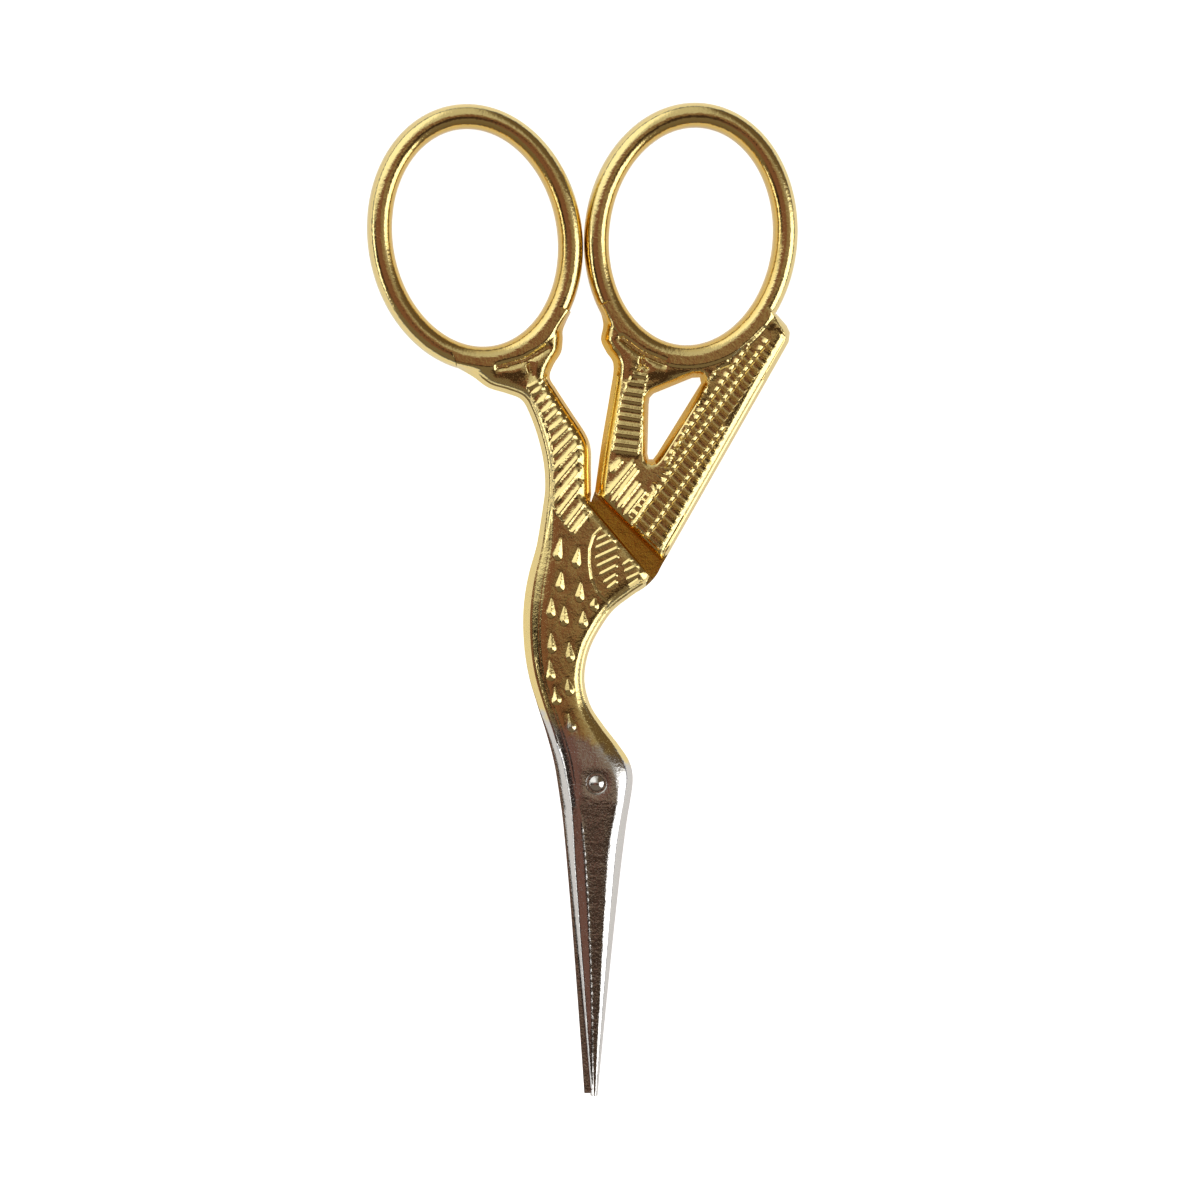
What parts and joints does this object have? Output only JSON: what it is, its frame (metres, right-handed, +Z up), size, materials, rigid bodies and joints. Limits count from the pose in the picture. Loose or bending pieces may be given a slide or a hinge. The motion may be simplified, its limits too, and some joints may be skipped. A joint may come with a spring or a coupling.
{
  "type": "embroidery scissors",
  "caption": "Stork-shaped embroidery scissors: two lapped halves with oval bows, ribbed legs, a wing and slim pointed blades, turning on one screw.",
  "frame": {"origin": "on the surface that the closed scissors lie on, under the middle of their outline", "axes": "+Y from the blade points to the bows, +X to the right seen from the front, +Z up out of the front face"},
  "size_m": [0.0502, 0.1152, 0.0038],
  "materials": {
    "gold_plated_steel": "polished gold plating on the bows, legs, wing and body, running into bright nickel on the neck and blades",
    "polished_steel": "polished steel, slightly worn"
  },
  "bodies": {
    "front": {"front_half": "gold_plated_steel", "pivot_screw": "polished_steel"},
    "back": {"back_half": "gold_plated_steel"}
  },
  "joints": [
    {"name": "pivot", "type": "hinge", "parent": "front", "child": "back", "pos_m": [0.00156, -0.02127, 0.0019], "axis": [0, 0, -1], "range_deg": [0, 140]}
  ]
}
